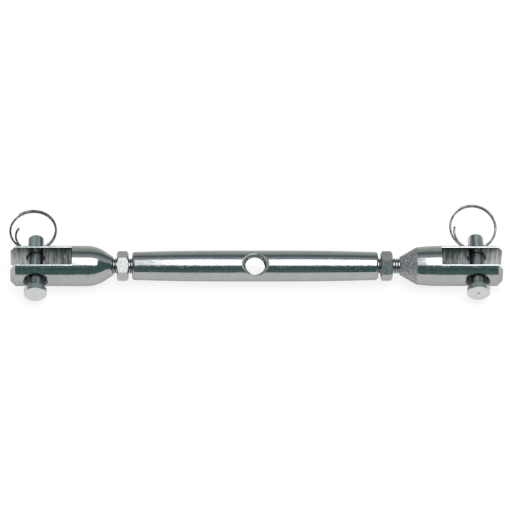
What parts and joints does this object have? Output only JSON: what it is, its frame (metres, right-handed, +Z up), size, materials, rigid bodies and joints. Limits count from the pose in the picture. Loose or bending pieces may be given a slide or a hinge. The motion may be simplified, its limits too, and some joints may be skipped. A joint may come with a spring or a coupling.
{
  "type": "rigging turnbuckle",
  "caption": "Closed-body rigging turnbuckle: tubular barrel with a cross hole, opposite-handed threaded studs, lock nuts, and a slotted jaw with clevis pin and split ring at each end.",
  "frame": {"origin": "centre of the cross hole in the middle of the barrel, on the screw axis", "axes": "+X along the screw axis towards the jaw with the left-hand thread, both clevis pins along Y with their heads on the -Y side, +Z up"},
  "size_m": [0.1909, 0.04, 0.0156],
  "materials": {
    "polished_barrel": "mirror-polished stainless tube",
    "polished_jaw": "mirror-polished turned stainless bar with a finely machined slot",
    "thread": "bright machined thread",
    "nut": "polished hexagon, slightly soft edges",
    "pin": "polished turned pin with a fine-turned head face",
    "ring_wire": "bright drawn spring wire"
  },
  "bodies": {
    "jaw_left": {"jaw_left": "polished_jaw"},
    "stud_left": {"stud_left": "thread"},
    "barrel": {"barrel": "polished_barrel"},
    "stud_right": {"stud_right": "thread"},
    "jaw_right": {"jaw_right": "polished_jaw"},
    "lock_nut_left": {"lock_nut_left": "nut"},
    "clevis_pin_left": {"clevis_pin_left": "pin"},
    "split_ring_left": {"split_ring_left": "ring_wire"},
    "lock_nut_right": {"lock_nut_right": "nut"},
    "clevis_pin_right": {"clevis_pin_right": "pin"},
    "split_ring_right": {"split_ring_right": "ring_wire"}
  },
  "joints": [
    {"name": "barrel_turn", "type": "hinge", "parent": "jaw_left", "child": "stud_left", "pos_m": [0, 0, 0], "axis": [1, 0, 0], "range_deg": [-360.1, 11880.1]},
    {"name": "barrel_travel", "type": "slide", "parent": "stud_left", "child": "barrel", "axis": [1, 0, 0], "range_m": [-0.001, 0.033]},
    {"name": "right_thread_travel", "type": "slide", "parent": "barrel", "child": "stud_right", "axis": [1, 0, 0], "range_m": [-0.001, 0.033]},
    {"name": "right_jaw_stays_level", "type": "hinge", "parent": "stud_right", "child": "jaw_right", "pos_m": [0, 0, 0], "axis": [1, 0, 0], "range_deg": [-11880.1, 360.1]},
    {"name": "lock_nut_left_turn", "type": "hinge", "parent": "jaw_left", "child": "lock_nut_left", "pos_m": [-0.0512, 0, 0], "axis": [1, 0, 0], "range_deg": [-470, 500]},
    {"name": "lock_nut_right_turn", "type": "hinge", "parent": "jaw_right", "child": "lock_nut_right", "pos_m": [0.05085, 0, 0], "axis": [1, 0, 0], "range_deg": [-390, 1040]},
    {"name": "clevis_pin_left_push", "type": "slide", "parent": "jaw_left", "child": "clevis_pin_left", "axis": [0, 1, 0], "range_m": [0, 0.0042]},
    {"name": "clevis_pin_right_push", "type": "slide", "parent": "jaw_right", "child": "clevis_pin_right", "axis": [0, 1, 0], "range_m": [0, 0.0037]},
    {"name": "split_ring_left_swing", "type": "hinge", "parent": "clevis_pin_left", "child": "split_ring_left", "pos_m": [-0.0848, 0.0085, 0], "axis": [1, 0, 0], "range_deg": [-68, 62]},
    {"name": "split_ring_right_swing", "type": "hinge", "parent": "clevis_pin_right", "child": "split_ring_right", "pos_m": [0.086, 0.009, 0], "axis": [1, 0, 0], "range_deg": [-105, 58]}
  ],
  "couplings": [
    {"joint": "barrel_turn", "follows": "barrel_travel", "rad_per_m": 6283.2},
    {"joint": "right_thread_travel", "follows": "barrel_travel", "ratio": 1},
    {"joint": "right_jaw_stays_level", "follows": "barrel_travel", "rad_per_m": -6283.2}
  ]
}
